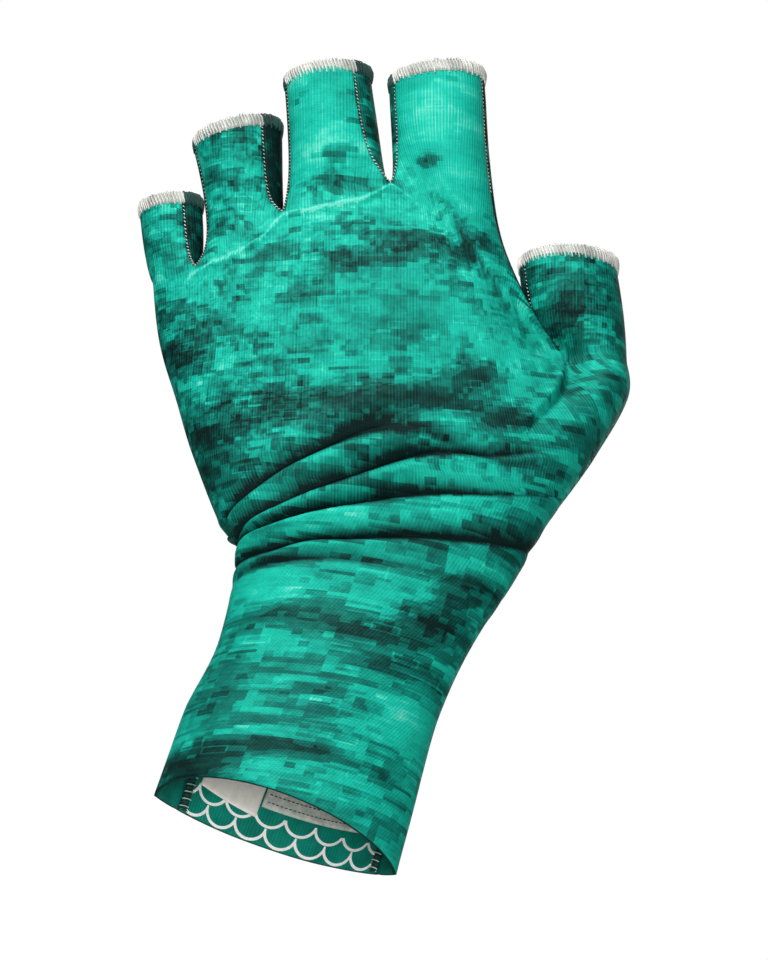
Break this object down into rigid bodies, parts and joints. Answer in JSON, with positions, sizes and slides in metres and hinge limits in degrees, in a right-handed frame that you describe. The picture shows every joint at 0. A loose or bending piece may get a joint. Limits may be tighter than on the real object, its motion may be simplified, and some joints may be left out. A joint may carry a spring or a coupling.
{
  "type": "fingerless fishing glove",
  "caption": "Long-cuffed fingerless left glove of stretch knit in its worn shape, with edged finger stubs, side strips between the fingers and a tape and label inside the cuff.",
  "frame": {"origin": "middle of the cuff's mouth, where the wrist goes in", "axes": "+Z from the cuff to the fingertips, +X towards the thumb, -Y out of the back of the hand"},
  "size_m": [0.1352, 0.0489, 0.2384],
  "materials": {
    "printed_knit": "stretch knit with a turquoise and dark green pixel print",
    "palm_knit": "the same printed stretch knit on the palm side",
    "strip_knit": "dark printed stretch knit",
    "edging_thread": "off-white overlocked thread",
    "tape": "pale woven tape",
    "label": "plain white satin"
  },
  "bodies": {
    "root": {"back_panel": "printed_knit", "palm_panel": "palm_knit", "side_strip_little_ring": "strip_knit", "side_strip_ring_middle": "strip_knit", "side_strip_middle_index": "strip_knit", "little_edging": "edging_thread", "ring_edging": "edging_thread", "middle_edging": "edging_thread", "index_edging": "edging_thread", "thumb_edging": "edging_thread", "cuff_tape": "tape", "size_label": "label"}
  },
  "joints": []
}
